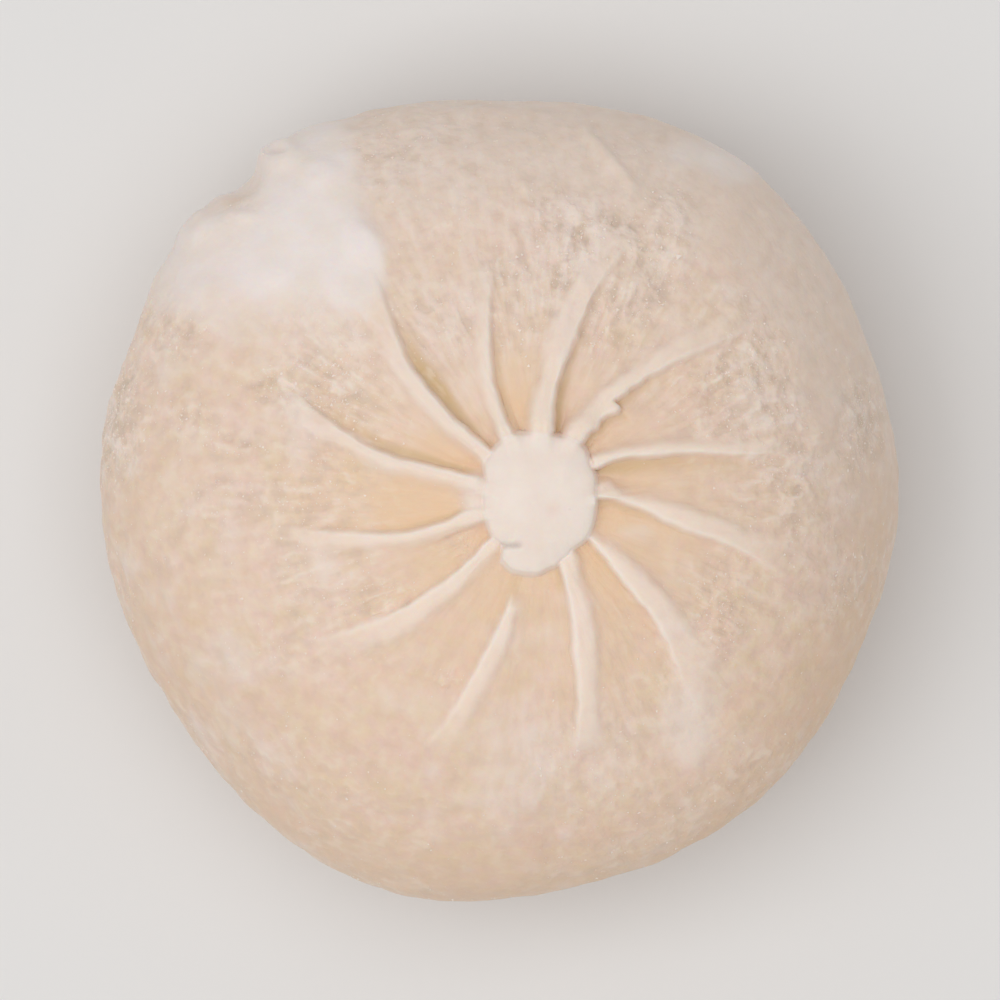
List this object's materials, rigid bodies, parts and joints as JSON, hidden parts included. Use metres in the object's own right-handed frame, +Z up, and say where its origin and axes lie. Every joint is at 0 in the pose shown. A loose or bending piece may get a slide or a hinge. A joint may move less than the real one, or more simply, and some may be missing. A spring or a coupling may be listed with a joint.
{
  "type": "xiaolongbao",
  "caption": "Raw frozen xiaolongbao: a squat round filled dumpling, flat underneath, its dough gathered in swirling pleats under an off-centre pinched knot.",
  "frame": {"origin": "middle of the bounding box at the height of the flat underside it rests on", "axes": "+Z up; seen from straight above, as in the picture, +X is to the picture's right and +Y to its top, and the pinched knot sits to the +X side of the middle"},
  "size_m": [0.0454, 0.0456, 0.0302],
  "materials": {
    "dough": "matte"
  },
  "bodies": {
    "root": {"dumpling": "dough"}
  },
  "joints": []
}
